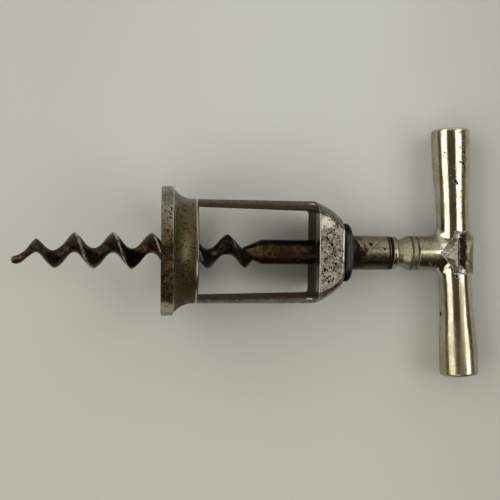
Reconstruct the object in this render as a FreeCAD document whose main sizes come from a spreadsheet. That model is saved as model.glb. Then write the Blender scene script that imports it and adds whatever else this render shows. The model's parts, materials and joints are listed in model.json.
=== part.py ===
import FreeCAD, Part
import math
import os

import Sketcher

# T handle corkscrew with an open two-pillar frame, in millimetres.
# Every piece is built on the screw's own axis: X runs from the bell's mouth to the handle,
# Y runs along the upper handle arm, and X = 0 is the mouth of the bell.
# The whole object is then laid down as it rests: on the bell's lip and on both arm ends.

os.makedirs("parts", exist_ok=True)
doc = FreeCAD.newDocument("t_handle_corkscrew")

# Driving sizes, each one free to change by itself.
SIZES = {
    # bell: lip band, flare, and the mouth that sits on the bottle
    "lip_radius": 19.0,
    "lip_width": 3.4,
    "lip_edge_chamfer": 0.3,
    "lip_bevel": 0.35,
    "lip_shoulder": 0.78,
    "bell_overhang": 3.65,
    "flare_end": 9.3,
    "rim_width": 3.4,
    "mouth_step": 2.0,
    "mouth_depth": 6.5,
    "cork_ledge": 1.4,
    # barrel, and the window cut through it that leaves the two pillars
    "barrel_taper": 0.15,
    "window_start": 10.6,
    "window_length": 34.8,
    "pillar_depth_bell": 2.1,
    "pillar_depth_head": 2.85,
    "window_corner": 1.3,
    # head: dome, end face, and the filed flats front and back
    "head_length": 7.8,
    "dome_radius": 20.0,
    "crown_margin": 1.22,
    "crown_edge": 0.9,
    "crown_edge_drop": 1.08,
    "crown_edge_round": 1.4,
    "flat_half_depth": 10.2,
    "flat_half_depth_end": 8.3,
    "flat_margin": 2.0,
    "flat_end_round": 0.6,
    "head_wall": 3.6,
    # knurled bush, screwed into the head
    "bush_spigot_radius": 7.0,
    "bush_spigot_length": 2.6,
    "bush_flange_radius": 8.7,
    "bush_flange_width": 2.65,
    "bush_edge_round": 0.9,
    "bush_seat_chamfer": 0.3,
    # shank
    "shank_radius": 3.71,
    "thrust_collar_radius": 6.2,
    "shaft_radius": 5.1,
    "shaft_end": 67.7,
    "shaft_chamfer": 0.25,
    "tang_radius": 3.4,
    "tang_length": 9.0,
    "root_cone_start": 21.4,
    "root_cone_end": 29.6,
    # worm
    "worm_radius": 5.4,
    "worm_root_radius": 4.85,
    "worm_pitch": 11.1,
    "worm_settling_turns": 3.0,
    "worm_crest": -2.8,
    "worm_tip": -42.4,
    "worm_section_height": 6.1,
    "worm_section_width": 3.5,
    "worm_tip_height": 2.1,
    "worm_taper_length": 20.0,
    "worm_tip_bend": 1.8,
    "worm_end_overlap": 0.6,
    # washer clamped in the neck joint
    "neck_ring_radius": 5.0,
    "neck_ring_width": 0.7,
    # handle neck: bead, waist, cone, and two turned lines
    "bead_radius": 4.95,
    "bead_length": 2.1,
    "bead_chamfer": 0.2,
    "waist_radius": 4.05,
    "waist_length": 1.3,
    "neck_cone_length": 2.0,
    "neck_radius": 5.17,
    "neck_taper": 0.31,
    "line_depth": 0.25,
    "line_width": 0.4,
    "first_line": 0.5,
    "second_line": 2.3,
    # arms, and the hub that the neck makes where it passes through them
    "arm_station": 88.4,
    "arm_root_radius": 4.85,
    "arm_end_radius": 5.76,
    "upper_arm_length": 37.6,
    "lower_arm_length": 36.8,
    "arm_swell_start": 9.0,
    "arm_end_straight": 3.2,
    "arm_end_round": 0.9,
    "upper_arm_lean": 2.05,
    "lower_arm_lean": 3.25,
    "hub_back_radius": 5.87,
    "hub_back_height": 5.5,
    "hub_spare_length": 6.0,
    "hub_cut_margin": 1.0,
    "neck_fillet": 3.0,
    # filed facet on the front, where the neck meets the arms
    "facet_length": 5.5,
    "facet_half_width": 4.15,
    "facet_tip_half_width": 0.3,
    "facet_fall": 0.5,
    "facet_cut_height": 3.0,
    # clearances
    "bore_clearance": 0.06,
    "end_clearance": 0.05,
    "seat_clearance": 0.02,
    "tang_end_gap": 0.3,
    # how far the frame is turned on the shank as it lies
    "frame_turn": 1.2,
}

# Places and sizes that follow from the driving ones.
PLACES = {
    "lip_face_radius": "lip_radius - lip_edge_chamfer",
    "bevel_end": "lip_width + lip_bevel",
    "mouth_radius": "lip_radius - rim_width",
    "mouth_floor_radius": "lip_radius - rim_width - mouth_step",
    "cork_bore_radius": "lip_radius - rim_width - mouth_step - cork_ledge",
    "barrel_radius": "lip_radius - bell_overhang",
    "shoulder_radius": "barrel_radius - barrel_taper",
    "flare_start_radius": "lip_radius - lip_shoulder",
    "flare_rise": "bell_overhang - lip_shoulder",
    "flare_length": "flare_end - bevel_end",
    "flare_radius": "(flare_length ^ 2 + flare_rise ^ 2) / (2 * flare_rise)",
    "window_end": "window_start + window_length",
    "head_end": "window_end + head_length",
    "crown_start": "head_end - crown_edge",
    "crown_end_radius": "bush_flange_radius + crown_margin",
    "crown_radius": "crown_end_radius + crown_edge_drop",
    "head_floor": "window_end + head_wall",
    "bush_inner_end": "head_end - bush_spigot_length",
    "bush_outer_end": "head_end + bush_flange_width",
    "thread_radius": "bush_spigot_radius + seat_clearance",
    "counterbore_radius": "thrust_collar_radius + bore_clearance",
    "shank_bore_radius": "shank_radius + bore_clearance",
    "bush_bore_radius": "shaft_radius + bore_clearance",
    "bush_round_start": "bush_outer_end - bush_edge_round",
    "bush_face_radius": "bush_flange_radius - bush_edge_round",
    "collar_start": "head_floor + end_clearance",
    "collar_end": "bush_inner_end - end_clearance",
    "shaft_chamfer_start": "shaft_end - shaft_chamfer",
    "shaft_chamfer_radius": "shaft_radius - shaft_chamfer",
    "tang_end": "shaft_end + tang_length",
    "ring_bore_radius": "tang_radius + bore_clearance",
    "neck_start": "shaft_end + neck_ring_width",
    "tang_bore_radius": "tang_radius + seat_clearance",
    "tang_bore_end": "tang_end + tang_end_gap",
    "bead_front_radius": "bead_radius - bead_chamfer",
    "bead_chamfer_end": "neck_start + bead_chamfer",
    "bead_end": "neck_start + bead_length",
    "bead_drop": "bead_radius - waist_radius",
    "bead_round_start": "bead_end - bead_drop",
    "waist_end": "bead_end + waist_length",
    "neck_cone_end": "waist_end + neck_cone_length",
    "line_radius": "neck_radius - line_depth",
    "first_line_start": "neck_cone_end + first_line",
    "first_line_middle": "first_line_start + line_width / 2",
    "first_line_end": "first_line_start + line_width",
    "second_line_start": "neck_cone_end + second_line",
    "second_line_middle": "second_line_start + line_width / 2",
    "second_line_end": "second_line_start + line_width",
    "swell_middle_radius": "(arm_root_radius + arm_end_radius) / 2",
    "arm_swell": "arm_end_radius - arm_root_radius",
    "arm_face_radius": "arm_end_radius - arm_end_round",
    "upper_swell_end": "upper_arm_length - arm_end_straight",
    "upper_swell_middle": "(arm_swell_start + upper_swell_end) / 2",
    "upper_swell_curve": "((upper_swell_end - arm_swell_start) ^ 2 + arm_swell ^ 2) / (4 * arm_swell)",
    "upper_round_start": "upper_arm_length - arm_end_round",
    "lower_swell_end": "lower_arm_length - arm_end_straight",
    "lower_swell_middle": "(arm_swell_start + lower_swell_end) / 2",
    "lower_swell_curve": "((lower_swell_end - arm_swell_start) ^ 2 + arm_swell ^ 2) / (4 * arm_swell)",
    "lower_round_start": "lower_arm_length - arm_end_round",
    "hub_back_start": "arm_station + sqrt(hub_back_radius ^ 2 - hub_back_height ^ 2)",
    "hub_spare_end": "arm_station + hub_back_radius + hub_spare_length",
    "hub_spare_radius": "neck_radius - neck_taper",
    "hub_cut_width": "arm_swell_start * 2",
    "hub_cut_end": "hub_spare_end + hub_cut_margin",
    "facet_start": "arm_station - facet_length",
    "facet_slope": "atan(facet_fall / facet_length)",
    "facet_tip_height": "neck_radius - neck_taper * (facet_start - second_line_end)"
    " / (hub_spare_end - second_line_end)",
    "window_half_bell": "barrel_radius - pillar_depth_bell",
    "window_half_head": "barrel_radius - pillar_depth_head",
    "window_corner_start": "window_start + window_corner",
    "window_corner_end": "window_end - window_corner",
    "window_corner_line_bell": "window_half_bell - window_corner",
    "window_corner_line_head": "window_half_head - window_corner",
    "flat_start": "window_end - flat_margin",
    "flat_stop": "head_end + flat_margin",
    "flat_slope": "(flat_half_depth - flat_half_depth_end) / head_length",
    "flat_start_height": "flat_half_depth + flat_margin * flat_slope",
    "flat_stop_height": "flat_half_depth_end - flat_margin * flat_slope",
    "flat_top": "barrel_radius + flat_margin",
    "bush_seat_chamfer_end": "head_end + bush_seat_chamfer",
    "bush_seat_radius": "bush_flange_radius - bush_seat_chamfer",
    "worm_run_out": "root_cone_end + worm_end_overlap",
    "worm_last_full": "worm_run_out - worm_pitch / 2",
    "worm_run_out_length": "worm_pitch / 2",
    "worm_settling_length": "worm_pitch * worm_settling_turns",
}


def fill(name, rows):
    """Write one spreadsheet of aliased cells."""
    sheet = doc.addObject("Spreadsheet::Sheet", name)
    for row, (alias, content) in enumerate(rows.items(), start=1):
        sheet.set("A%d" % row, alias)
        sheet.set("B%d" % row, content)
        sheet.setAlias("B%d" % row, alias)
    doc.recompute()
    return sheet


def spelled(formula):
    """A formula written in plain aliases, as the second sheet needs it."""
    words = formula.replace("(", "( ").replace(")", " )").split()
    return "=" + " ".join("sizes." + w if w in SIZES else w for w in words)


ORIGIN = FreeCAD.Vector(0, 0, 0)
X_AXIS = FreeCAD.Vector(1, 0, 0)
Y_AXIS = FreeCAD.Vector(0, 1, 0)
SAME = 0.001

sizes = fill("sizes", {alias: str(value) for alias, value in SIZES.items()})
places = fill("places", {alias: spelled(formula) for alias, formula in PLACES.items()})


def cell(alias):
    """The full name of a size or place."""
    return ("sizes." if alias in SIZES else "places.") + alias


def value(alias):
    """The number that a size or place holds now."""
    return float(sizes.get(alias) if alias in SIZES else places.get(alias))


def new_body(label):
    body = doc.addObject("PartDesign::Body", label)
    body.Label = label
    return body


def origin_plane(body, role):
    return [feature for feature in body.Origin.OriginFeatures if feature.Role == role][0]


def coordinate(alias):
    """A vertex coordinate: 0 on the axis, or a size or place, with a minus sign if negative."""
    if alias == "0":
        return 0.0
    return -value(alias[1:]) if alias[0] == "-" else value(alias)


def bind(sketch, constraint, alias):
    """Add one dimension to a sketch and bind it to its cell."""
    index = sketch.addConstraint(constraint)
    sketch.setExpression("Constraints[%d]" % index, alias)


def hold_vertex(sketch, edge, end, across, along):
    """Hold one end of an edge at its two named coordinates."""
    for kind, axis, alias in (("DistanceX", -2, across), ("DistanceY", -1, along)):
        if alias == "0":
            sketch.addConstraint(Sketcher.Constraint("PointOnObject", edge, end, axis))
            continue
        expression = "-" + cell(alias[1:]) if alias[0] == "-" else cell(alias)
        bind(sketch, Sketcher.Constraint(kind, -1, 1, edge, end, coordinate(alias)), expression)


def arc_middle(start, end, radius, side):
    """A point on the arc between two vertices that bulges to the left (1) or right (-1)."""
    chord = end - start
    half = chord.Length / 2
    rise = radius - math.sqrt(max(radius * radius - half * half, 0.0))
    left = FreeCAD.Vector(-chord.y, chord.x, 0) / chord.Length
    return (start + end) / 2 + left * rise * side


def profile(body, name, role, vertices, arcs=None):
    """A closed sketch on one of the body's own planes.

    vertices are pairs of aliases. arcs gives, for the edge that leaves a vertex,
    the alias of its radius and the side to which it bulges.
    """
    arcs = arcs or {}
    sketch = body.newObject("Sketcher::SketchObject", name)
    sketch.AttachmentSupport = [(origin_plane(body, role), "")]
    sketch.MapMode = "FlatFace"
    points = [FreeCAD.Vector(coordinate(x), coordinate(y), 0) for x, y in vertices]
    ends = []
    for index, start in enumerate(points):
        end = points[(index + 1) % len(points)]
        if index not in arcs:
            sketch.addGeometry(Part.LineSegment(start, end))
            ends.append((1, 2))
            continue
        alias, side = arcs[index]
        middle = arc_middle(start, end, value(alias), side)
        edge = sketch.addGeometry(Part.Arc(start, middle, end))
        ends.append((2, 1) if side > 0 else (1, 2))
        bind(sketch, Sketcher.Constraint("Radius", edge, value(alias)), cell(alias))
    for index in range(len(points)):
        following = (index + 1) % len(points)
        meeting = (index, ends[index][1], following, ends[following][0])
        sketch.addConstraint(Sketcher.Constraint("Coincident", *meeting))
    for index, (across, along) in enumerate(vertices):
        hold_vertex(sketch, index, ends[index][0], across, along)
    doc.recompute()
    return sketch


def revolve(body, name, sketch):
    """Turn a sketch once around its own horizontal axis."""
    turned = body.newObject("PartDesign::Revolution", name)
    turned.Profile = sketch
    turned.ReferenceAxis = (sketch, ["H_Axis"])
    turned.Angle = 360
    doc.recompute()
    return turned


def cut_through(body, name, sketch):
    """Cut a sketch right through the body, both ways."""
    before = body.Shape.Volume
    pocket = body.newObject("PartDesign::Pocket", name)
    pocket.Profile = sketch
    pocket.Type = "ThroughAll"
    pocket.SideType = "Symmetric"
    pocket.Refine = False
    doc.recompute()
    if body.Shape.Volume >= before:
        raise RuntimeError(name + " cuts nothing")
    return pocket


def flat_ends(shape):
    """The two straight edges where the filed flats meet the head's end face."""
    station = value("head_end")
    ends = []
    for index, edge in enumerate(shape.Edges, start=1):
        low, high = [vertex.Point for vertex in edge.Vertexes] if len(edge.Vertexes) == 2 else (ORIGIN, ORIGIN)
        straight = edge.Curve.TypeId == "Part::GeomLine"
        if straight and abs(low.x - station) < SAME and abs(high.x - station) < SAME:
            ends.append("Edge%d" % index)
    return ends


def build_frame():
    """The frame: bell, two pillars and head in one casting."""
    body = new_body("frame")
    turned = [
        ("0", "mouth_radius"),
        ("0", "lip_face_radius"),
        ("lip_edge_chamfer", "lip_radius"),
        ("lip_width", "lip_radius"),
        ("bevel_end", "flare_start_radius"),
        ("flare_end", "barrel_radius"),
        ("window_end", "shoulder_radius"),
        ("crown_start", "crown_radius"),
        ("head_end", "crown_end_radius"),
        ("head_end", "thread_radius"),
        ("bush_inner_end", "thread_radius"),
        ("bush_inner_end", "counterbore_radius"),
        ("head_floor", "counterbore_radius"),
        ("head_floor", "shank_bore_radius"),
        ("window_start", "shank_bore_radius"),
        ("window_start", "cork_bore_radius"),
        ("mouth_depth", "cork_bore_radius"),
        ("mouth_depth", "mouth_floor_radius"),
    ]
    arcs = {
        4: ("flare_radius", -1),
        6: ("dome_radius", 1),
        7: ("crown_edge_round", 1),
    }
    revolve(body, "casting", profile(body, "casting_profile", "XY_Plane", turned, arcs))
    window = [
        ("window_start", "-window_corner_line_bell"),
        ("window_corner_start", "-window_half_bell"),
        ("window_corner_end", "-window_half_head"),
        ("window_end", "-window_corner_line_head"),
        ("window_end", "window_corner_line_head"),
        ("window_corner_end", "window_half_head"),
        ("window_corner_start", "window_half_bell"),
        ("window_start", "window_corner_line_bell"),
    ]
    corners = {
        0: ("window_corner", -1),
        2: ("window_corner", -1),
        4: ("window_corner", -1),
        6: ("window_corner", -1),
    }
    cut_through(body, "windows", profile(body, "window_outline", "XY_Plane", window, corners))
    flat = [
        ("flat_start", "flat_start_height"),
        ("flat_stop", "flat_stop_height"),
        ("flat_stop", "flat_top"),
        ("flat_start", "flat_top"),
    ]
    front = cut_through(body, "front_flat", profile(body, "flat_outline", "XZ_Plane", flat))
    back = body.newObject("PartDesign::Mirrored", "back_flat")
    back.Originals = [front]
    back.MirrorPlane = (origin_plane(body, "XY_Plane"), [""])
    body.Tip = back
    doc.recompute()
    ease = body.newObject("PartDesign::Fillet", "flat_end_rounds")
    ease.Base = (back, flat_ends(body.Shape))
    ease.setExpression("Radius", cell("flat_end_round"))
    doc.recompute()
    return body


def build_bush():
    """The knurled bush that holds the shank in the head."""
    body = new_body("knurled_bush")
    turned = [
        ("bush_inner_end", "bush_bore_radius"),
        ("bush_inner_end", "bush_spigot_radius"),
        ("head_end", "bush_spigot_radius"),
        ("head_end", "bush_seat_radius"),
        ("bush_seat_chamfer_end", "bush_flange_radius"),
        ("bush_round_start", "bush_flange_radius"),
        ("bush_outer_end", "bush_face_radius"),
        ("bush_outer_end", "bush_bore_radius"),
    ]
    arcs = {5: ("bush_edge_round", 1)}
    revolve(body, "turning", profile(body, "turning_profile", "XY_Plane", turned, arcs))
    return body


def build_neck_ring():
    """The plain washer clamped between the shaft and the handle's neck."""
    body = new_body("neck_ring")
    turned = [
        ("shaft_end", "ring_bore_radius"),
        ("shaft_end", "neck_ring_radius"),
        ("neck_start", "neck_ring_radius"),
        ("neck_start", "ring_bore_radius"),
    ]
    revolve(body, "turning", profile(body, "turning_profile", "XY_Plane", turned))
    return body


def build_shank():
    """The shank behind the worm: root cone, thrust collar, thick shaft and tang."""
    body = new_body("shank")
    turned = [
        ("root_cone_start", "0"),
        ("root_cone_end", "shank_radius"),
        ("collar_start", "shank_radius"),
        ("collar_start", "thrust_collar_radius"),
        ("collar_end", "thrust_collar_radius"),
        ("collar_end", "shaft_radius"),
        ("shaft_chamfer_start", "shaft_radius"),
        ("shaft_end", "shaft_chamfer_radius"),
        ("shaft_end", "tang_radius"),
        ("tang_end", "tang_radius"),
        ("tang_end", "0"),
    ]
    revolve(body, "turning", profile(body, "turning_profile", "XY_Plane", turned))
    return body


def eased(fraction):
    """A rise from 0 to 1 that is steep at first and level at the end."""
    return math.sin(math.pi / 2 * min(max(fraction, 0.0), 1.0))


def worm_section(station):
    """One section of the worm's blade, square to its path, at a place along the axis."""
    from_tip = station - value("worm_tip")
    to_root = value("worm_run_out") - station
    taper = eased(from_tip / value("worm_taper_length"))
    tip_height = value("worm_tip_height")
    height = tip_height + (value("worm_section_height") - tip_height) * taper
    width = value("worm_section_width") * height / value("worm_section_height")
    width = max(width, tip_height * WORM_TIP_FLATNESS)
    outside = value("worm_root_radius") + (value("worm_radius") - value("worm_root_radius")) * eased(
        to_root / value("worm_settling_length")
    )
    swing = (outside - value("worm_section_height") / 2) * (
        WORM_TIP_SWING + (1 - WORM_TIP_SWING) * eased(from_tip / value("worm_pitch"))
    )
    run_out = min(max((station - value("worm_last_full")) / value("worm_run_out_length"), 0.0), 1.0)
    swing *= 1 - run_out
    height *= 1 - WORM_RUN_OUT_SHRINK * run_out
    bend = -value("worm_tip_bend") * max(1 - from_tip / value("worm_taper_length"), 0.0) ** 2
    turn = 2 * math.pi * (station - value("worm_crest")) / value("worm_pitch")
    outward = FreeCAD.Vector(0, math.cos(turn), math.sin(turn))
    around = FreeCAD.Vector(0, -math.sin(turn), math.cos(turn))
    rise = value("worm_pitch") / (2 * math.pi)
    along = (around * max(swing, WORM_LEAST_SWING) + FreeCAD.Vector(rise, 0, 0)).normalize()
    sideways = along.cross(outward).normalize()
    middle = FreeCAD.Vector(station, bend, 0) + outward * swing
    rim = []
    for step in range(WORM_SECTION_POINTS):
        angle = 2 * math.pi * step / WORM_SECTION_POINTS
        reach = height / 2 * math.cos(angle)
        spread = width / 2 * math.sin(angle) * (1 - WORM_EDGE_SHARPNESS * math.cos(angle))
        rim.append(middle + outward * reach + sideways * spread)
    return rim + rim[:1]


# Shape of the worm's blade: how far its outer edge narrows, and how its two ends fade.
WORM_EDGE_SHARPNESS = 0.42
WORM_TIP_FLATNESS = 0.9
WORM_TIP_SWING = 0.5
WORM_LEAST_SWING = 1.0
WORM_RUN_OUT_SHRINK = 0.35
WORM_SECTION_POINTS = 8
WORM_SECTIONS_A_TURN = 6


def worm_rim(station):
    """One section's outline as a smooth closed wire in two halves."""
    curve = Part.BSplineCurve()
    curve.interpolate(worm_section(station))
    middle = (curve.FirstParameter + curve.LastParameter) / 2
    halves = [curve.toShape(curve.FirstParameter, middle), curve.toShape(middle, curve.LastParameter)]
    return Part.Wire(halves)


def build_worm():
    """The worm: a narrowing blade wound right-handed around the axis, tapered to its point."""
    length = value("worm_run_out") - value("worm_tip")
    count = round(length / value("worm_pitch") * WORM_SECTIONS_A_TURN)
    stations = [value("worm_tip") + length * step / count for step in range(count + 1)]
    worm = doc.addObject("Part::Feature", "worm")
    worm.Shape = Part.makeLoft([worm_rim(station) for station in stations], True, False)
    return worm


def build_worm_shank():
    """Worm and shank, forged and turned from one bar."""
    whole = doc.addObject("Part::Fuse", "worm_shank")
    whole.Label = "worm_shank"
    whole.Base = build_shank()
    whole.Tool = build_worm()
    doc.recompute()
    return whole


def leaning_profile(body, name, outline, arcs, angle):
    """A profile drawn along a line through the arm station, at one angle to the screw's axis."""
    sketch = profile(body, name, "XY_Plane", outline, arcs)
    sketch.setExpression(".AttachmentOffset.Base.x", cell("arm_station"))
    sketch.setExpression(".AttachmentOffset.Rotation.Angle", angle)
    doc.recompute()
    return sketch


def arm_profile(body, arm, angle):
    """One arm: slim at the hub, swelling in two gentle curves, with a rounded end."""
    outline = [
        ("0", "0"),
        ("0", "arm_root_radius"),
        ("arm_swell_start", "arm_root_radius"),
        (arm + "_swell_middle", "swell_middle_radius"),
        (arm + "_swell_end", "arm_end_radius"),
        (arm + "_round_start", "arm_end_radius"),
        (arm + "_arm_length", "arm_face_radius"),
        (arm + "_arm_length", "0"),
    ]
    arcs = {
        2: (arm + "_swell_curve", -1),
        3: (arm + "_swell_curve", 1),
        5: ("arm_end_round", 1),
    }
    return leaning_profile(body, arm + "_arm_profile", outline, arcs, angle)


def file_facet(body):
    """The filed facet: a shallow arrowhead cut on a plane that dips towards the hub."""
    outline = [
        ("0", "-facet_tip_half_width"),
        ("facet_length", "-facet_half_width"),
        ("facet_length", "facet_half_width"),
        ("0", "facet_tip_half_width"),
    ]
    sketch = profile(body, "facet_outline", "XY_Plane", outline)
    sketch.AttachmentOffset = FreeCAD.Placement(ORIGIN, FreeCAD.Rotation(Y_AXIS, 1))
    sketch.setExpression(".AttachmentOffset.Base.x", cell("facet_start"))
    sketch.setExpression(".AttachmentOffset.Base.z", cell("facet_tip_height"))
    sketch.setExpression(".AttachmentOffset.Rotation.Angle", cell("facet_slope"))
    pocket = body.newObject("PartDesign::Pocket", "facet")
    pocket.Profile = sketch
    pocket.setExpression("Length", cell("facet_cut_height"))
    pocket.Reversed = True
    pocket.Refine = False
    doc.recompute()


def neck_seam(shape):
    """The closed seams where the round arms come out of the tapering neck."""
    seam = []
    for index, edge in enumerate(shape.Edges, start=1):
        sides = [face.Surface for face in shape.Faces if any(edge.isSame(other) for other in face.Edges)]
        arms = [side for side in sides if abs(getattr(side, "Radius", 0) - value("arm_root_radius")) < SAME]
        necks = [side for side in sides if side.TypeId == "Part::GeomCone"]
        if arms and necks:
            seam.append("Edge%d" % index)
    return seam


def round_back(body):
    """Cut the neck's spare length off behind the arms, round the arms' own line."""
    spare = [
        ("hub_back_start", "-hub_back_height"),
        ("hub_back_start", "hub_back_height"),
        ("hub_cut_end", "hub_back_height"),
        ("hub_cut_end", "-hub_back_height"),
    ]
    arcs = {0: ("hub_back_radius", -1)}
    pocket = body.newObject("PartDesign::Pocket", "hub_back")
    pocket.Profile = profile(body, "hub_back_outline", "XZ_Plane", spare, arcs)
    pocket.Type = "Length"
    pocket.SideType = "Symmetric"
    pocket.setExpression("Length", cell("hub_cut_width"))
    pocket.Refine = False
    doc.recompute()


def build_handle():
    """The handle: beaded neck, hub and two arms in one casting."""
    body = new_body("t_handle")
    neck = [
        ("neck_start", "tang_bore_radius"),
        ("neck_start", "bead_front_radius"),
        ("bead_chamfer_end", "bead_radius"),
        ("bead_round_start", "bead_radius"),
        ("bead_end", "waist_radius"),
        ("waist_end", "waist_radius"),
        ("neck_cone_end", "neck_radius"),
        ("first_line_start", "neck_radius"),
        ("first_line_middle", "line_radius"),
        ("first_line_end", "neck_radius"),
        ("second_line_start", "neck_radius"),
        ("second_line_middle", "line_radius"),
        ("second_line_end", "neck_radius"),
        ("hub_spare_end", "hub_spare_radius"),
        ("hub_spare_end", "0"),
        ("tang_bore_end", "0"),
        ("tang_bore_end", "tang_bore_radius"),
    ]
    arcs = {3: ("bead_drop", 1)}
    revolve(body, "neck", profile(body, "neck_profile", "XY_Plane", neck, arcs))
    revolve(body, "upper_arm", arm_profile(body, "upper", "90 + " + cell("upper_arm_lean")))
    arm = revolve(body, "lower_arm", arm_profile(body, "lower", "-90 + " + cell("lower_arm_lean")))
    fillet = body.newObject("PartDesign::Fillet", "neck_fillet")
    fillet.Base = (arm, neck_seam(body.Shape))
    fillet.setExpression("Radius", cell("neck_fillet"))
    doc.recompute()
    round_back(body)
    file_facet(body)
    return body


def lie_down():
    """Placements of the screw and of the frame as the object rests on a table."""
    upper = math.radians(value("upper_arm_lean"))
    lower = math.radians(value("lower_arm_lean"))
    upper_x = value("arm_station") - value("upper_round_start") * math.sin(upper)
    lower_x = value("arm_station") + value("lower_round_start") * math.sin(lower)
    upper_y = value("upper_round_start") * math.cos(upper)
    lower_y = value("lower_round_start") * math.cos(lower)
    middle_x = (upper_x * lower_y + lower_x * upper_y) / (upper_y + lower_y)
    lever = middle_x - value("lip_width")
    lip = value("lip_radius")
    tilt = math.acos(value("arm_end_radius") / math.hypot(lip, lever)) - math.atan2(lever, lip)
    roll = math.asin(math.tan(tilt) * (upper_x - lower_x) / (upper_y + lower_y))
    height = lip * math.cos(tilt) + value("lip_width") * math.sin(tilt)
    place = FreeCAD.Placement(FreeCAD.Vector(0, 0, height), FreeCAD.Rotation(Y_AXIS, math.degrees(tilt)))
    screw = place * FreeCAD.Placement(ORIGIN, FreeCAD.Rotation(X_AXIS, math.degrees(roll)))
    frame = place * FreeCAD.Placement(ORIGIN, FreeCAD.Rotation(X_AXIS, value("frame_turn")))
    return screw, frame, tilt


def check(item):
    """Stop if a feature failed or a solid is not sound."""
    if "Invalid" in item.State or "Error" in item.State:
        raise RuntimeError(item.Name + " failed")


def main():
    frame_pieces = [build_frame(), build_bush()]
    screw_pieces = [build_worm_shank(), build_handle(), build_neck_ring()]
    screw_place, frame_place, tilt = lie_down()
    for pieces, place in ((frame_pieces, frame_place), (screw_pieces, screw_place)):
        for piece in pieces:
            piece.Placement = place
    doc.recompute()
    boxes = [piece.Shape.optimalBoundingBox() for piece in frame_pieces + screw_pieces]
    middle = FreeCAD.Vector(
        (min(box.XMin for box in boxes) + max(box.XMax for box in boxes)) / 2,
        (min(box.YMin for box in boxes) + max(box.YMax for box in boxes)) / 2,
        0,
    )
    for piece in frame_pieces + screw_pieces:
        piece.Placement = FreeCAD.Placement(-middle, FreeCAD.Rotation()) * piece.Placement
    doc.recompute()
    for item in doc.Objects:
        check(item)
    for piece in frame_pieces + screw_pieces:
        shape = piece.Shape
        if shape.isNull() or not shape.isValid() or len(shape.Solids) != 1:
            raise RuntimeError(piece.Label + " is not one sound solid")
        shape.exportStep(os.path.join("parts", piece.Label + ".step"))
        box = shape.optimalBoundingBox()
        print("%-13s %9.1f mm3  x %7.2f %7.2f  y %7.2f %7.2f  z %6.2f %6.2f" % (
            piece.Label, shape.Volume, box.XMin, box.XMax, box.YMin, box.YMax, box.ZMin, box.ZMax))
    axis = screw_place.Rotation.multVec(X_AXIS)
    print("tilt %.4f deg, mouth at x %.4f y %.4f z %.4f, axis %.6f %.6f %.6f" % (
        math.degrees(tilt), -middle.x, -middle.y, screw_place.Base.z, axis.x, axis.y, axis.z))


main()
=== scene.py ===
import bpy
import json
import math
from mathutils import Matrix, Vector


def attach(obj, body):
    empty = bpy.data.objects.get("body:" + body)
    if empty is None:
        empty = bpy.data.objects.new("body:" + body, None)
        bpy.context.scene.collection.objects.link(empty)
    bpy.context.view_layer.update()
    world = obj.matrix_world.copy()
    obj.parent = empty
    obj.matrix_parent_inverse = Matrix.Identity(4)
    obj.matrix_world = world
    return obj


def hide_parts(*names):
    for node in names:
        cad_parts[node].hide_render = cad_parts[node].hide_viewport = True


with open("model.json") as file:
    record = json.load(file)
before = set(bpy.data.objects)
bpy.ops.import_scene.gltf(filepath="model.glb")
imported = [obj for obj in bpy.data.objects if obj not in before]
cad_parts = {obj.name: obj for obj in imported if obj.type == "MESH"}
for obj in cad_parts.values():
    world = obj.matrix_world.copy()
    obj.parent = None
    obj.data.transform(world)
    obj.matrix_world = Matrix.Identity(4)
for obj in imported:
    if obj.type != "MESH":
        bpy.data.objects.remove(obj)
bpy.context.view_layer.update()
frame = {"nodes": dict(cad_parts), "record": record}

# Where the screw's axis lies: from the centre of the bell's mouth towards the handle.
turning_joint = frame["record"]["behaviour"]["joints"][0]
MOUTH = Vector(turning_joint["pos_m"])
AXIS = Vector(turning_joint["axis"]).normalized()
ACROSS = Vector((0, 1, 0))
UPRIGHT = AXIS.cross(ACROSS)
DIP = math.atan2(-AXIS.z, AXIS.x)
MM = 0.001


def place(station, across, height):
    """A point given in millimetres along, across and above the screw's axis."""
    return MOUTH + (AXIS * station + ACROSS * across + UPRIGHT * height) * MM


def colour(red, green, blue):
    return (red, green, blue, 1.0)


# Small helpers for node materials

SPOT_RAGGEDNESS = 3.6
SPOT_OUTER = 1.1
SPOT_INNER = 0.75


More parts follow.
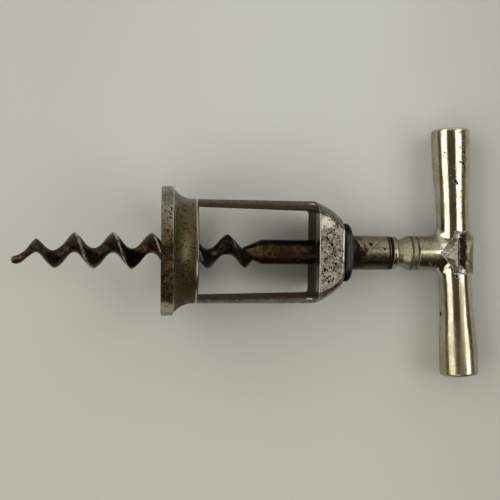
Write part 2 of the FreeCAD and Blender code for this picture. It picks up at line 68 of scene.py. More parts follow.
class Nodes:
    """A short way to write a material's node tree."""

    def __init__(self, name):
        self.material = bpy.data.materials.new(name)
        self.material.use_nodes = True
        self.tree = self.material.node_tree
        self.tree.nodes.clear()
        output = self.add("ShaderNodeOutputMaterial")
        self.shader = self.add("ShaderNodeBsdfPrincipled")
        self.link(self.shader.outputs["BSDF"], output.inputs["Surface"])

    def add(self, kind, **settings):
        node = self.tree.nodes.new(kind)
        for key, value in settings.items():
            setattr(node, key, value)
        return node

    def link(self, source, target):
        self.tree.links.new(source, target)

    def feed(self, target, source):
        """Set a socket from another node's output or from a plain value."""
        if isinstance(source, bpy.types.NodeSocket):
            self.link(source, target)
        else:
            target.default_value = source

    def surface(self, skin, metallic, roughness, specular, normal):
        """Feed the shader. The specular level stays a plain number."""
        inputs = self.shader.inputs
        self.feed(inputs["Base Color"], skin)
        self.feed(inputs["Metallic"], metallic)
        self.feed(inputs["Roughness"], roughness)
        inputs["Specular IOR Level"].default_value = specular
        self.feed(inputs["Normal"], normal)

    def axis_millimetres(self):
        """Coordinates along, across and above the screw's axis, in millimetres."""
        coordinates = self.add("ShaderNodeTexCoord")
        mapping = self.add("ShaderNodeMapping", vector_type="TEXTURE")
        mapping.inputs["Location"].default_value = MOUTH
        mapping.inputs["Rotation"].default_value = (0, DIP, 0)
        mapping.inputs["Scale"].default_value = (MM, MM, MM)
        self.link(coordinates.outputs["Object"], mapping.inputs["Vector"])
        return mapping.outputs["Vector"]

    def stretched(self, vector, scale):
        mapping = self.add("ShaderNodeMapping")
        mapping.inputs["Scale"].default_value = scale
        self.link(vector, mapping.inputs["Vector"])
        return mapping.outputs["Vector"]

    def noise(self, vector, scale, detail=3.0, rough=0.55, distortion=0.0, offset=0.0):
        node = self.add("ShaderNodeTexNoise", noise_dimensions="4D")
        self.link(vector, node.inputs["Vector"])
        node.inputs["W"].default_value = offset
        node.inputs["Scale"].default_value = scale
        node.inputs["Detail"].default_value = detail
        node.inputs["Roughness"].default_value = rough
        node.inputs["Distortion"].default_value = distortion
        return node.outputs["Fac"]

    def cells(self, vector, scale):
        """Distance to the nearest of many scattered points."""
        node = self.add("ShaderNodeTexVoronoi", feature="F1")
        self.link(vector, node.inputs["Vector"])
        node.inputs["Scale"].default_value = scale
        return node.outputs["Distance"]

    def span(self, value, low, high, to_low=0.0, to_high=1.0):
        """Map a value's range to another one, smoothly and clamped."""
        node = self.add("ShaderNodeMapRange", interpolation_type="SMOOTHSTEP")
        self.feed(node.inputs["Value"], value)
        node.inputs["From Min"].default_value = low
        node.inputs["From Max"].default_value = high
        node.inputs["To Min"].default_value = to_low
        node.inputs["To Max"].default_value = to_high
        return node.outputs["Result"]

    def band(self, value, low, high, edge):
        """1 between low and high, falling to 0 over the edge's width outside them."""
        return self.product(self.span(value, low - edge, low), self.span(value, high + edge, high))

    def maths(self, operation, first, second=0.0):
        node = self.add("ShaderNodeMath", operation=operation)
        self.feed(node.inputs[0], first)
        self.feed(node.inputs[1], second)
        return node.outputs["Value"]

    def chain(self, operation, values):
        result = values[0]
        for value in values[1:]:
            result = self.maths(operation, result, value)
        return result

    def product(self, *values):
        return self.chain("MULTIPLY", values)

    def total(self, *values):
        return self.chain("ADD", values)

    def most(self, *values):
        return self.chain("MAXIMUM", values)

    def mix(self, factor, first, second):
        """Mix two colours."""
        node = self.add("ShaderNodeMix", data_type="RGBA")
        self.feed(node.inputs["Factor"], factor)
        self.feed(node.inputs["A"], first)
        self.feed(node.inputs["B"], second)
        return node.outputs["Result"]

    def split(self, vector):
        node = self.add("ShaderNodeSeparateXYZ")
        self.link(vector, node.inputs["Vector"])
        return node.outputs["X"], node.outputs["Y"], node.outputs["Z"]

    def spots(self, vector, places, ragged):
        """Ragged patches, 1 inside and 0 outside. A place is (along, across, above, radius) in mm."""
        found = 0.0
        for along, across, above, radius in places:
            distance = self.add("ShaderNodeVectorMath", operation="DISTANCE")
            self.link(vector, distance.inputs[0])
            distance.inputs[1].default_value = (along, across, above)
            bent = self.total(distance.outputs["Value"], self.product(ragged, SPOT_RAGGEDNESS * radius))
            found = self.most(found, self.span(bent, radius * SPOT_OUTER, radius * SPOT_INNER))
        return found

    def bump(self, height, strength, distance):
        node = self.add("ShaderNodeBump")
        node.inputs["Strength"].default_value = strength
        node.inputs["Distance"].default_value = distance
        self.link(height, node.inputs["Height"])
        return node.outputs["Normal"]


# Bands along the screw's axis, in millimetres from the bell's mouth: (start, end)

LIP_EDGE = (3.35, 3.70)
FLARE_RUST = (3.9, 9.2)
FLARE_PAINTED_SHADE = (3.9, 9.6)
FLARE_PATINA = (4.2, 9.6)
FLARE_EDGE = (9.9, 10.4)
WINDOW = (10.4, 45.3)
PILLARS = (11.0, 45.0)
HEAD_FACE = (45.25, 45.5)
HEAD_FACE_EDGE = (45.36, 45.50)
HEAD_FLAT = (45.7, 53.2)
HEAD_FLAT_EDGE = (52.55, 53.15)
KNURL_BAND = (53.9, 55.4)
SHAFT_GRAINS = (57.5, 63.5)
SHAFT_END = (67.2, 67.9)
RING_BLACK = (67.95, 68.60)
NECK_SEAM = (68.2, 68.75)
NECK_WAIST = (71.0, 75.8)
BEAD_LINE = (74.25, 74.75)
SECOND_BEAD_LINE = (76.05, 76.55)
HUB_STRIP = (88.75, 90.6)
WORN_ARM = (88.8, 90.4)
# Tarnished band with painted shade on the lower arm, dimming its reflection.
TARNISHED_AND_SHADED_ARM = (88.9, 90.0)

# Marks on the pieces, painted glints and a painted reflection among them: (along, across, above,
# radius) in millimetres

FLARE_BLOTCHES = [(6.0, 10.6, 12.3, 2.4), (7.0, 6.4, 14.4, 2.0)]
FRAME_STAINS = [(7.2, -5.2, 14.8, 1.9), (44.0, 4.0, 9.6, 1.4)]
FRAME_PITS = [(1.8, 5.7, 18.1, 0.50), (46.9, -5.0, 9.8, 0.55), (49.0, 2.2, 9.3, 0.45),
              (47.4, 4.3, 9.7, 0.45), (50.3, -3.3, 9.0, 0.42), (48.2, -8.4, 9.6, 0.48)]
# Painted glints on the window's two corners beside the head.
FRAME_PAINTED_GLINTS = [(43.3, 14.1, 5.7, 0.45), (44.1, 14.1, 5.7, 0.50), (42.6, -13.4, 7.0, 0.45),
                  (43.4, -13.4, 7.0, 0.50)]
# Rubbed spots; the one on the head's flat is also a painted reflection.
FRAME_RUBBED_AND_HIGHLIT = [(47.6, 8.9, 9.6, 2.3), (2.1, -16.4, 10.0, 2.6)]
HANDLE_PITS = [(89.4, 27.0, 5.1, 0.60), (88.4, 27.3, 5.4, 0.34), (86.9, 21.6, 5.1, 0.52),
               (87.6, 20.9, 5.2, 0.40), (88.2, 36.2, 5.6, 0.36), (88.9, 33.2, 5.5, 0.30),
               (88.2, 31.5, 5.5, 0.26), (84.3, -18.3, 0.6, 0.80), (84.6, 4.3, 3.7, 0.30),
               (85.3, 3.8, 3.9, 0.36), (87.9, -6.9, 4.8, 0.45), (90.6, 2.2, 4.6, 0.45),
               (91.6, -5.4, 2.5, 0.50), (84.1, -5.6, 2.4, 0.34), (86.2, 30.9, 4.8, 0.28),
               (79.6, -2.6, 4.4, 0.30)]
HANDLE_RUBBED = [(87.8, 5.3, 4.8, 0.9), (90.1, -5.5, 4.7, 0.9)]
HANDLE_STAINS = [(74.6, 3.4, 3.9, 1.5), (76.8, 3.8, 3.4, 1.1), (69.2, 3.2, 3.6, 1.2),
                 (80.5, 3.6, 3.5, 0.9)]
HANDLE_TARNISH = [(88.0, -27.0, 5.4, 4.0), (87.5, -22.6, 5.3, 2.6)]
SHAFT_PITS = [(57.8, -0.9, 4.9, 2.1), (57.8, 2.3, 4.6, 0.75), (61.6, 2.6, 4.4, 0.50),
              (64.2, 3.0, 4.2, 0.42), (65.9, 1.2, 5.0, 0.34), (60.4, 0.6, 5.0, 0.62)]

# The filed arrowhead on top of the hub: its point, middle, slope, widths and ends

ARROW_POINT = 83.0
ARROW_MIDDLE = 0.3
ARROW_SLOPE = 1.12
ARROW_HALF_WIDTH = 4.2
ARROW_SHOULDER = 1.9

# The window's inner faces: half the gap between the pillars, and how it narrows

WINDOW_HALF = 14.30
WINDOW_TAPER = -0.0216

# Colours of metal, rust, black marks, painted shade, painted highlights and painted glints

MATT_DARK = colour(0.075, 0.066, 0.046)
MATT_LIGHT = colour(0.235, 0.215, 0.172)
RUBBED_AND_HIGHLIT_METAL = colour(0.50, 0.47, 0.40)
PAINTED_GLINT = colour(0.95, 0.92, 0.84)
RUST_AND_SHADE_DARK = colour(0.028, 0.016, 0.005)
RUST_AND_SHADE_LIGHT = colour(0.125, 0.076, 0.026)
DIRT_AND_SHADE_BLACK = colour(0.010, 0.007, 0.005)


def plated(name, bright, dull, tarnish_and_shade_colour, grain, smooth, lumps, stain_level, pit_level, zones):
    """Worn nickel plate: dulled metal, brown rust stains, black pitting and fine polishing strokes,
    with painted shade, highlights and glints where the zones put them.
    """
    n = Nodes(name)
    at = n.axis_millimetres()
    wide = n.noise(at, 0.17, 4, 0.6, 0.4, 1.3)
    middle = n.noise(at, 0.55, 5, 0.62, 0.6, 4.1)
    fine = n.noise(at, 2.6, 3, 0.6, 0.0, 7.7)
    strokes = n.noise(n.stretched(at, grain), 1.0, 3, 0.6, 0.0, 2.0)
    ragged = n.maths("SUBTRACT", n.total(n.product(middle, 0.5), n.product(fine, 0.5)), 0.5)
    stain_and_shade, dark, wear_and_highlight, matt, tarnish_and_shade_amount, pitted = zones(n, at, ragged)

    # The metal itself, from dull to rubbed bright, then painted highlights and glints over it.
    hammered = n.noise(n.stretched(at, (0.9, 2.6, 1.5)), 1.0, 3, 0.6, 0.8, 5.0)
    metal = n.mix(n.span(n.total(n.product(wide, 0.6), n.product(middle, 0.4)), 0.40, 0.60),
                  colour(*bright), colour(*dull))
    metal = n.mix(n.span(strokes, 0.35, 0.65, 0.0, 0.22), metal, colour(*dull))
    metal = n.mix(tarnish_and_shade_amount, metal, colour(*tarnish_and_shade_colour))
    matt_metal = n.mix(n.span(hammered, 0.38, 0.62), MATT_DARK, MATT_LIGHT)
    metal = n.mix(n.product(matt, 0.95), metal, matt_metal)
    metal = n.mix(n.product(wear_and_highlight, 0.8), metal, RUBBED_AND_HIGHLIT_METAL)
    metal = n.mix(n.span(wear_and_highlight, 1.0, 2.0), metal, PAINTED_GLINT)

    # Rust, with painted shade in it, then pitting: scattered specks, crowded grains and the dark
    # places, painted shade among them.
    rust_and_shade = n.total(n.product(middle, 0.70), n.product(wide, 0.30), n.product(stain_and_shade, 0.30),
                     n.product(wear_and_highlight, -0.3))
    rust_and_shade = n.span(rust_and_shade, stain_level, stain_level + 0.11)
    specks = n.span(n.total(n.cells(at, 1.15), n.product(fine, 0.6)), 0.64, 0.54)
    gate = n.total(n.noise(at, 0.42, 2, 0.5, 0.0, 9.2), n.product(stain_and_shade, 0.05),
                   n.product(wear_and_highlight, -0.3), n.product(pitted, 0.30))
    gate = n.span(gate, pit_level, pit_level + 0.03)
    grains = n.span(n.total(n.cells(at, 2.5), n.product(fine, 0.8)), 0.68, 0.56)
    grains = n.product(grains, pitted, n.span(middle, 0.44, 0.50))
    pits_and_shade = n.most(n.product(specks, gate), grains, dark)
    brown = n.mix(n.span(fine, 0.35, 0.68), RUST_AND_SHADE_DARK, RUST_AND_SHADE_LIGHT)
    skin = n.mix(n.product(rust_and_shade, 0.86), metal, brown)
    skin = n.mix(pits_and_shade, skin, DIRT_AND_SHADE_BLACK)

    dirt_and_shade = n.most(n.product(rust_and_shade, 0.75), pits_and_shade)
    polish = n.total(n.span(strokes, 0.3, 0.7, smooth, smooth + 0.06),
                     n.span(middle, 0.35, 0.7, 0.0, 0.06), n.product(matt, 0.22),
                     n.product(tarnish_and_shade_amount, 0.20))
    roughness = n.most(polish, n.span(dirt_and_shade, 0.1, 0.9, 0.0, 0.52))
    relief = n.total(n.product(strokes, 0.16), n.product(pits_and_shade, -1.0), n.product(middle, lumps),
                     n.product(fine, rust_and_shade, 0.5), n.product(fine, 0.10),
                     n.product(hammered, matt, 1.2))
    n.surface(skin, n.span(dirt_and_shade, 0.0, 1.0, 1.0, 0.35), roughness, 0.0,
              n.bump(relief, 0.6, 0.00014))
    return n.material


def frame_zones(n, at, ragged):
    """Where the frame is rusty, black, rubbed, matt, yellowed and pitted, where painted shade darkens
    its lower side, and where painted highlights and glints lie.
    """
    along, across, above = n.split(at)
    width = n.maths("ABSOLUTE", across)
    # The bell's rim: rust and painted shade darken its lower side; its upper side is pitted and painted
    # lighter towards the top.
    rim = n.span(along, 3.75, 3.25)
    lower = n.product(rim, n.band(across, -13.0, 1.0, 2.0))
    upper = n.product(rim, n.span(across, -1.0, 3.0))
    flare = n.product(n.band(along, *FLARE_RUST, 0.5), n.span(across, 4.0, -8.0, 0.0, 0.40))
    # Painted shade on the flare's lower side.
    low_flare = n.product(n.band(along, *FLARE_PAINTED_SHADE, 0.3), n.span(across, -1.0, -7.0))
    # The window's inner faces and the lower part of the head's end face are browned and darkened.
    half = n.total(WINDOW_HALF, n.product(along, WINDOW_TAPER), n.product(ragged, 1.5))
    inside = n.product(n.maths("LESS_THAN", width, half), n.band(along, *WINDOW, 0.1))
    end_face = n.product(n.band(along, *HEAD_FACE, 0.05), n.maths("LESS_THAN", width, 12.9))
    inner_faces = n.most(inside, n.product(end_face, n.span(above, 4.4, 3.0)))
    # The head's filed flat, with a dark ragged line across its lower corner.
    flat = n.product(n.band(along, *HEAD_FLAT, 0.2), n.span(above, 7.6, 8.2))
    slant = n.total(across, n.product(along, -0.72), n.product(ragged, 3.0))
    crease = n.product(n.band(slant, -46.9, -45.9, 0.3), n.span(along, 45.5, 47.0),
                       n.span(above, 5.5, 6.5))
    between = n.band(along, *PILLARS, 0.5)
    pillars = n.product(between, n.span(width, 13.2, 13.6), 0.6)

    stain_and_shade = n.total(n.product(lower, 1.2),
                    n.product(upper, n.span(across, 12.0, 2.0, -0.25, 0.55)),
                    flare, n.product(inner_faces, 1.6), n.product(flat, 0.05),
                    n.product(n.spots(at, FLARE_BLOTCHES, ragged),
                              n.span(ragged, -0.05, 0.03, 0.1, 0.9)),
                    n.spots(at, FRAME_STAINS, ragged))
    dark = n.most(n.spots(at, FRAME_PITS, ragged), n.product(inner_faces, 0.35),
                  n.product(lower, n.span(n.total(ragged, 0.5), 0.44, 0.54, 0.15, 0.95)),
                  n.product(low_flare, 0.25), n.product(crease, n.span(ragged, -0.08, 0.06)))
    # Rubbed metal, and painted highlights: along the edges of the lip, flare, end face and flat, on the
    # lip's top, as glints on the window's corners and as a reflection on the flat.
    wear_and_highlight = n.most(n.product(n.band(along, *LIP_EDGE, 0.15), n.span(across, -16.0, 0.0, 0.2, 0.9)),
                   n.product(n.band(along, *FLARE_EDGE, 0.15), 0.5),
                   n.product(upper, n.span(across, 4.0, 12.0), 0.30),
                   n.product(n.band(along, *HEAD_FACE_EDGE, 0.06), n.span(above, 8.0, 8.6),
                             n.span(ragged, -0.1, 0.05, 0.2, 0.8)),
                   n.product(n.spots(at, FRAME_PAINTED_GLINTS, ragged), 2.0),
                   n.product(n.band(along, *HEAD_FLAT_EDGE, 0.15), n.span(above, 7.4, 8.0),
                             n.band(across, -1.0, 6.0, 2.0), 0.9),
                   n.product(n.spots(at, FRAME_RUBBED_AND_HIGHLIT, ragged), 0.75))
    patina = n.most(n.product(n.band(along, *FLARE_PATINA, 0.6), n.span(across, 14.0, 8.0, 0.5, 1.0)),
                    n.product(between, n.span(across, -12.0, 12.0, 0.45, 1.0)))
    pitted = n.total(upper, n.product(flat, 0.85), pillars)
    return stain_and_shade, dark, wear_and_highlight, n.product(flat, 0.8), patina, pitted


def handle_zones(n, at, ragged):
    """Where the handle is rusty, black, rubbed, matt, yellowed and pitted, and where painted shade dims
    the lower arm's reflection.
    """
    along, across, above = n.split(at)
    # The neck: two turned lines, the seam at the ring, a waist and a dull top.
    lines = n.most(n.band(along, *BEAD_LINE, 0.12), n.band(along, *SECOND_BEAD_LINE, 0.12))
    seam = n.band(along, *NECK_SEAM, 0.12)
    neck = n.product(n.span(along, 84.0, 80.0), n.span(across, -5.0, 2.0, 0.35, 1.0))
    neck_top = n.product(n.span(along, 85.0, 82.0), n.band(across, 1.1, 5.5, 0.5), 0.65)
    waist = n.product(n.band(along, *NECK_WAIST, 0.6), 0.55)
    # The rusted strip across the hub, where plate has torn away.
    torn = n.band(n.total(along, n.product(ragged, 6.5)), *HUB_STRIP, 0.25)
    strip = n.product(torn, n.band(n.total(across, n.product(ragged, 8.0)), -4.2, 5.6, 0.4),
                      n.span(above, 0.0, 3.0))
    # The filed arrowhead, with dirt along its two slanting sides.
    reach = n.maths("MINIMUM", n.product(n.maths("SUBTRACT", along, ARROW_POINT), ARROW_SLOPE),
                    ARROW_HALF_WIDTH)
    reach = n.total(reach, n.span(along, 86.7, 87.1, 0.0, ARROW_SHOULDER))
    past = n.maths("SUBTRACT", n.maths("ABSOLUTE", n.maths("SUBTRACT", across, ARROW_MIDDLE)), reach)
    there = n.product(n.span(above, 3.4, 3.9), n.span(along, 91.2, 90.8), n.span(along, 82.6, 83.0))
    facet = n.product(n.span(past, 0.10, -0.05), there)
    crease = n.product(n.band(past, 0.05, 0.35, 0.12), there, n.span(ragged, -0.12, 0.10))
    behind = n.product(n.span(along, 90.7, 91.0), n.span(above, 1.5, 3.0),
                       n.band(across, -5.5, 6.5, 0.5))
    # The arms: the lower one's far side is tarnished and carries painted shade that dims its
    # reflection; the upper one's is worn and pitted.
    tarnished_and_shaded = n.product(n.band(along, *TARNISHED_AND_SHADED_ARM, 0.3), n.span(across, -7.5, -10.0))
    worn_arm = n.product(n.band(along, *WORN_ARM, 0.3), n.span(across, 8.0, 12.0))

    stain_and_shade = n.total(n.product(strip, 1.3), n.product(facet, 0.10),
                    n.product(n.spots(at, HANDLE_STAINS, ragged), 0.7))
    dark = n.most(n.product(lines, n.span(ragged, -0.12, 0.08, 0.10, 0.75)), n.product(seam, 0.9),
                  n.spots(at, HANDLE_PITS, ragged), n.product(crease, 0.85),
                  n.product(strip, n.span(ragged, -0.11, 0.02)))
    wear_and_highlight = n.spots(at, HANDLE_RUBBED, ragged)
    matt = n.most(facet, waist, neck_top, n.product(behind, 0.5))
    tarnish_and_shade_amount = n.total(n.product(tarnished_and_shaded, 0.75),
                     n.product(n.spots(at, HANDLE_TARNISH, ragged), 0.35),
                     n.product(n.span(across, -20.0, -34.0), 0.30),
                     n.product(n.band(across, -37.0, -8.0, 2.0), 0.16),
                     n.product(behind, 0.8), n.product(neck, 0.8), 0.03)
    pitted = n.total(n.product(strip, 0.8), n.product(worn_arm, 0.5))
    return stain_and_shade, dark, wear_and_highlight, matt, tarnish_and_shade_amount, pitted


def ring_zones(n, at, ragged):
    """The ring is blackened in a narrow band; painted shade darkens its lower side."""
    along, across, _ = n.split(at)
    dark = n.band(n.total(along, n.product(ragged, 0.6)), *RING_BLACK, 0.12)
    return 0.0, dark, 0.0, 0.0, n.span(across, 0.6, -1.4), 0.0


def dark_steel(name):
    """Browned steel of the worm and shank, worn to bright metal on the shaft, with painted glints along
    the worm's crests and painted shade on the shaft's lower side.
    """
    n = Nodes(name)
    at = n.axis_millimetres()
    along, across, above = n.split(at)
    wide = n.noise(at, 0.22, 4, 0.6, 0.5, 3.3)
    middle = n.noise(at, 0.9, 5, 0.65, 0.5, 5.5)
    fine = n.noise(at, 3.4, 3, 0.6, 0.0, 8.1)
    brown = n.mix(n.span(middle, 0.36, 0.68), colour(0.010, 0.006, 0.002), colour(0.088, 0.054, 0.024))
    skin = n.mix(n.span(wide, 0.42, 0.62), brown, colour(0.022, 0.016, 0.010))
    # The worm's crests, painted with bright glint lines.
    radius = n.maths("SQRT", n.total(n.maths("POWER", across, 2.0), n.maths("POWER", above, 2.0)))
    edge = n.product(n.span(radius, 4.86, 5.18), n.span(along, 33, 31), n.span(middle, 0.38, 0.54))
    skin = n.mix(n.product(edge, 0.85), skin, colour(0.52, 0.47, 0.38))
    # The shaft's plate, which begins raggedly outside the bush.
    start = n.total(n.product(along, 0.055), middle, n.product(wide, 0.6), n.product(across, 0.010))
    plate = n.product(n.span(start, 4.00, 4.16), n.span(along, 54.0, 56.0))
    plain = n.mix(n.span(fine, 0.35, 0.65), colour(0.25, 0.215, 0.15), colour(0.14, 0.115, 0.070))
    # Painted shade: the plate darkens towards the shaft's lower side.
    plain = n.mix(n.span(across, 0.6, -1.4), plain, colour(0.085, 0.070, 0.038))
    skin = n.mix(plate, skin, plain)
    # Black marks on the shaft, and the dark line beside the ring.
    black = n.spots(at, SHAFT_PITS, n.product(n.maths("SUBTRACT", middle, 0.5), 1.6))
    grains = n.product(n.span(n.total(n.cells(at, 1.7), n.product(fine, 0.9)), 0.84, 0.72),
                       n.span(middle, 0.43, 0.49), n.band(along, *SHAFT_GRAINS, 1.5),
                       n.span(across, -2.0, 0.5))
    black = n.most(black, grains, n.product(n.band(along, *SHAFT_END, 0.25), 0.9))
    skin = n.mix(black, skin, DIRT_AND_SHADE_BLACK)

    worn = n.product(n.most(plate, edge), n.span(black, 0.0, 1.0, 1.0, 0.2))
    roughness = n.total(n.span(fine, 0.3, 0.7, 0.23, 0.42), n.product(worn, -0.05),
                        n.product(black, 0.2))
    relief = n.total(n.product(middle, 0.7), n.product(fine, 0.35), n.product(black, -0.6))
    n.surface(skin, n.span(worn, 0, 1, 0.85, 1.0), roughness, 0.25, n.bump(relief, 0.6, 0.00016))
    return n.material


# The knurled bush's stations along the axis and its radii, as in the solid

BUSH_INNER_END = 50.60
BUSH_SHOULDER = 53.20
BUSH_SEAT_CHAMFER_END = 53.50
BUSH_ROUND_START = 54.95
BUSH_OUTER_END = 55.85
BUSH_BORE_RADIUS = 5.16
BUSH_SPIGOT_RADIUS = 7.0
BUSH_SEAT_RADIUS = 8.40
BUSH_RADIUS = 8.70
BUSH_EDGE_ROUND = 0.90

# Its knurling: grooves around, points per groove, depth, rings of points, and turn in
# radians for each millimetre along

KNURLS = 60
KNURL_SAMPLES = 6
KNURL_DEPTH = 0.24
KNURL_ROWS = 9
KNURL_LEAN = 7.0
ROUND_STEPS = 5
SMOOTH_BELOW = math.radians(35)


def black_steel(name):
    """Blackened steel of the knurled bush, with painted grey highlights on the crests that face up."""
    n = Nodes(name)
    at = n.axis_millimetres()
    along, across, above = n.split(at)
    middle = n.noise(at, 1.1, 4, 0.6, 0.3, 2.2)
    fine = n.noise(at, 5.0, 2, 0.5, 0.0, 6.2)
    turn = n.total(n.product(n.maths("ARCTAN2", above, across), KNURLS),
                   n.product(n.maths("SUBTRACT", along, BUSH_ROUND_START), KNURL_LEAN))
    crest = n.product(n.span(n.maths("COSINE", turn), 0.62, 0.98), n.band(along, *KNURL_BAND, 0.2),
                      n.span(n.maths("ABSOLUTE", across), 6.2, 4.6), n.span(middle, 0.34, 0.46))
    skin = n.mix(n.span(middle, 0.35, 0.65), colour(0.004, 0.004, 0.003), colour(0.010, 0.009, 0.007))
    skin = n.mix(n.product(crest, 0.9), skin, colour(0.30, 0.285, 0.25))
    n.surface(skin, 0.35, n.span(fine, 0.3, 0.7, 0.30, 0.45), 0.05, n.bump(middle, 0.3, 0.0001))
    return n.material


MATERIALS = {
    "frame": plated("frame_plate", bright=(0.27, 0.24, 0.175), dull=(0.12, 0.097, 0.055),
                    tarnish_and_shade_colour=(0.080, 0.066, 0.034), grain=(0.30, 1.4, 1.4), smooth=0.18, lumps=0.30,
                    stain_level=0.535, pit_level=0.485, zones=frame_zones),
    "t_handle": plated("handle_plate", bright=(0.62, 0.585, 0.49), dull=(0.44, 0.395, 0.27),
                       tarnish_and_shade_colour=(0.30, 0.25, 0.14), grain=(3.2, 0.12, 3.2), smooth=0.07, lumps=0.06,
                       stain_level=0.70, pit_level=0.64, zones=handle_zones),
    # For the ring, the third colour is the painted shade on its lower side.
    "neck_ring": plated("ring_steel", bright=(0.27, 0.235, 0.17), dull=(0.15, 0.125, 0.08),
                        tarnish_and_shade_colour=(0.085, 0.070, 0.038), grain=(0.5, 2.0, 2.0), smooth=0.20, lumps=0.10,
                        stain_level=0.62, pit_level=0.56, zones=ring_zones),
    "worm_shank": dark_steel("worm_steel"),
    "knurled_bush": black_steel("bush_black"),
}
for node, material in MATERIALS.items():
    mesh = frame["nodes"][node].data
    mesh.materials.clear()
    mesh.materials.append(material)


# The bush with its knurling, cut inwards from the plain solid's outline

def bush_rings():
    """The bush's section as (station, radius, share of the knurl's depth), once around it."""
    rings = [(BUSH_INNER_END, BUSH_BORE_RADIUS, 0), (BUSH_INNER_END, BUSH_SPIGOT_RADIUS, 0),
             (BUSH_SHOULDER, BUSH_SPIGOT_RADIUS, 0), (BUSH_SHOULDER, BUSH_SEAT_RADIUS, 0)]
    for row in range(KNURL_ROWS):
        share = row / (KNURL_ROWS - 1)
        station = BUSH_SEAT_CHAMFER_END + (BUSH_ROUND_START - BUSH_SEAT_CHAMFER_END) * share
        rings.append((station, BUSH_RADIUS, min(1, share * 4)))
    for step in range(1, ROUND_STEPS + 1):
        turn = math.pi / 2 * step / ROUND_STEPS
        rings.append((BUSH_ROUND_START + BUSH_EDGE_ROUND * math.sin(turn),
                      BUSH_RADIUS - BUSH_EDGE_ROUND * (1 - math.cos(turn)), max(0, 1 - step / 3)))
    rings.append((BUSH_OUTER_END, BUSH_BORE_RADIUS, 0))
    return rings


def knurled_bush():
    """A turned ring whose rim carries slanting grooves."""
    around = KNURLS * KNURL_SAMPLES
    rings = bush_rings()
    points = []
    for station, radius, cut in rings:
        for index in range(around):
            angle = math.tau * index / around
            phase = KNURLS * angle + (station - BUSH_ROUND_START) * KNURL_LEAN
            groove = cut * KNURL_DEPTH * (0.5 - 0.5 * math.cos(phase))
            reach = radius - groove
            points.append(place(station, reach * math.cos(angle), reach * math.sin(angle)))
    faces = []
    for ring in range(len(rings)):
        after = (ring + 1) % len(rings)
        for index in range(around):
            beside = (index + 1) % around
            faces.append((ring * around + index, ring * around + beside,
                          after * around + beside, after * around + index))
    mesh = bpy.data.meshes.new("bush_knurled")
    mesh.from_pydata(points, [], faces)
    mesh.materials.append(MATERIALS["knurled_bush"])
    mesh.shade_smooth()
    mesh.set_sharp_from_angle(angle=SMOOTH_BELOW)
    bush = bpy.data.objects.new("bush_knurled", mesh)
    bpy.context.scene.collection.objects.link(bush)
    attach(bush, "frame")
    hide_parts("knurled_bush")


knurled_bush()


# Floor, world and lamps

FLOOR_HALF = 1.6
BACKDROP = colour(0.47, 0.47, 0.43)
ROOM_DARK = (0.12, colour(0.022, 0.016, 0.008))
ROOM_LIGHT = (1.0, colour(0.95, 0.93, 0.87))
ROOM_BETWEEN = [
    (0.22, colour(0.05, 0.04, 0.02)),
    (0.36, colour(0.10, 0.088, 0.055)),
    (0.56, colour(0.085, 0.073, 0.042)),
    (0.70, colour(0.24, 0.22, 0.17)),
    (0.84, colour(0.62, 0.59, 0.51)),
]
WARM = (1.0, 0.985, 0.95)
COOL = (0.985, 0.99, 1.0)
LAMPS = [
    ("left_window", (-0.62, 0.15, 0.60), (0, 0.15, 0), 0.56, 1.90, 7.3, WARM),
    ("right_window_near", (0.575, 0.1425, 0.665), (0, 0.1425, 0), 0.54, 0.325, 1.5, COOL),
    ("right_window_far", (0.75, 0.90, 0.56), (0, 0.90, 0), 0.70, 1.30, 2.7, COOL),
    ("right_window_lower", (0.70, -0.19, 0.545), (0, -0.19, 0), 0.36, 0.34, 1.5, COOL),
    ("lower_fill", (-0.06, -0.56, 0.74), (0, 0, 0), 0.50, 0.50, 1.3, WARM),
]


def build_floor():
    """A pale floor, with painted shade making it warmer and darker to the left, below and to the right.
    """
    n = Nodes("floor_paper")
    at = n.add("ShaderNodeTexCoord").outputs["Object"]
    wide = n.noise(at, 9.0, 2, 0.5, 0.0, 0.6)
    along, across, _ = n.split(at)
    paper_and_shade = n.mix(n.span(wide, 0.3, 0.7), colour(0.515, 0.525, 0.495), colour(0.535, 0.55, 0.525))
    paper_and_shade = n.mix(n.span(along, 0.0, -0.07, 0.0, 0.6), paper_and_shade, colour(0.47, 0.465, 0.415))
    paper_and_shade = n.mix(n.product(n.span(across, 0.03, -0.05), 0.8), paper_and_shade, colour(0.475, 0.475, 0.41))
    paper_and_shade = n.mix(n.product(n.span(along, 0.03, 0.08), 0.6), paper_and_shade, colour(0.41, 0.41, 0.36))
    n.surface(paper_and_shade, 0.0, 0.62, 0.25, n.bump(n.noise(at, 900.0, 2, 0.5), 0.04, 0.0001))
    mesh = bpy.data.meshes.new("floor")
    corners = [(-FLOOR_HALF, -FLOOR_HALF, 0), (FLOOR_HALF, -FLOOR_HALF, 0),
               (FLOOR_HALF, FLOOR_HALF, 0), (-FLOOR_HALF, FLOOR_HALF, 0)]
    mesh.from_pydata(corners, [], [(0, 1, 2, 3)])
    floor = bpy.data.objects.new("floor", mesh)
    bpy.context.scene.collection.objects.link(floor)
    mesh.materials.append(n.material)


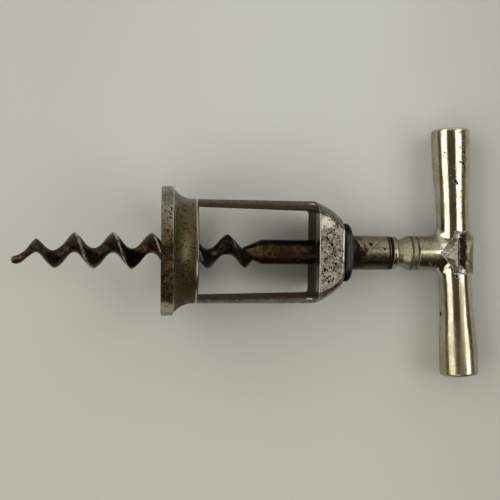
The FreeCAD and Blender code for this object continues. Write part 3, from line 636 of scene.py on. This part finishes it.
def build_world():
    """A room that is dim overhead, lightest behind the upper arm and darkest behind the lower one."""
    world = bpy.data.worlds.new("studio")
    bpy.context.scene.world = world
    world.use_nodes = True
    tree = world.node_tree
    tree.nodes.clear()
    output = tree.nodes.new("ShaderNodeOutputWorld")
    sky = tree.nodes.new("ShaderNodeBackground")
    ramp = tree.nodes.new("ShaderNodeValToRGB")
    split = tree.nodes.new("ShaderNodeSeparateXYZ")
    side = tree.nodes.new("ShaderNodeMapRange")
    coordinates = tree.nodes.new("ShaderNodeTexCoord")
    path = tree.nodes.new("ShaderNodeLightPath")
    backdrop = tree.nodes.new("ShaderNodeMix")
    backdrop.data_type = "RGBA"
    backdrop.inputs["B"].default_value = BACKDROP
    side.inputs["From Min"].default_value = -1.0
    side.inputs["From Max"].default_value = 1.0
    for source, target in ((coordinates.outputs["Generated"], split.inputs["Vector"]),
                           (split.outputs["Y"], side.inputs["Value"]),
                           (side.outputs["Result"], ramp.inputs["Fac"]),
                           (path.outputs["Is Camera Ray"], backdrop.inputs["Factor"]),
                           (ramp.outputs["Color"], backdrop.inputs["A"]),
                           (backdrop.outputs["Result"], sky.inputs["Color"]),
                           (sky.outputs["Background"], output.inputs["Surface"])):
        tree.links.new(source, target)
    stops = ramp.color_ramp.elements
    stops[0].position, stops[0].color = ROOM_DARK
    stops[1].position, stops[1].color = ROOM_LIGHT
    for position, tone in ROOM_BETWEEN:
        stops.new(position).color = tone


def lamp(name, position, target, width, length, watts, tint):
    """A rectangular lamp that faces its target, its width lying level."""
    light = bpy.data.lights.new(name, "AREA")
    light.shape = "RECTANGLE"
    light.size = width
    light.size_y = length
    light.energy = watts
    light.color = tint
    thing = bpy.data.objects.new(name, light)
    bpy.context.scene.collection.objects.link(thing)
    thing.location = position
    back = (Vector(position) - Vector(target)).normalized()
    side = ACROSS.cross(back).normalized()
    up = back.cross(side)
    thing.rotation_euler = Matrix((side, up, back)).transposed().to_euler()


build_floor()
build_world()
for settings in LAMPS:
    lamp(*settings)


# Camera: straight over the bell's rim, turned a little towards the handle

FOCAL_PIXELS = 850.0
IMAGE_PIXELS = 500.0
SENSOR_MM = 36.0
TURN = math.radians(5.98)
ROLL = math.radians(0.55)
HEIGHT_MM = 250.5
SIDE_MM = 0.5


def build_camera():
    view = (AXIS * math.sin(TURN) - UPRIGHT * math.cos(TURN)).normalized()
    right = ACROSS.cross(-view).normalized()
    up = (-view).cross(right)
    rolled_right = right * math.cos(ROLL) + up * math.sin(ROLL)
    rolled_up = up * math.cos(ROLL) - right * math.sin(ROLL)
    data = bpy.data.cameras.new("camera")
    data.sensor_width = SENSOR_MM
    data.lens = FOCAL_PIXELS / IMAGE_PIXELS * SENSOR_MM
    data.clip_start = 0.01
    data.clip_end = 10
    camera = bpy.data.objects.new("camera", data)
    bpy.context.scene.collection.objects.link(camera)
    turned = Matrix((rolled_right, rolled_up, -view)).transposed().to_4x4()
    turned.translation = place(0, SIDE_MM, HEIGHT_MM)
    camera.matrix_world = turned
    bpy.context.scene.camera = camera


build_camera()
bpy.context.scene.view_settings.view_transform = "Standard"
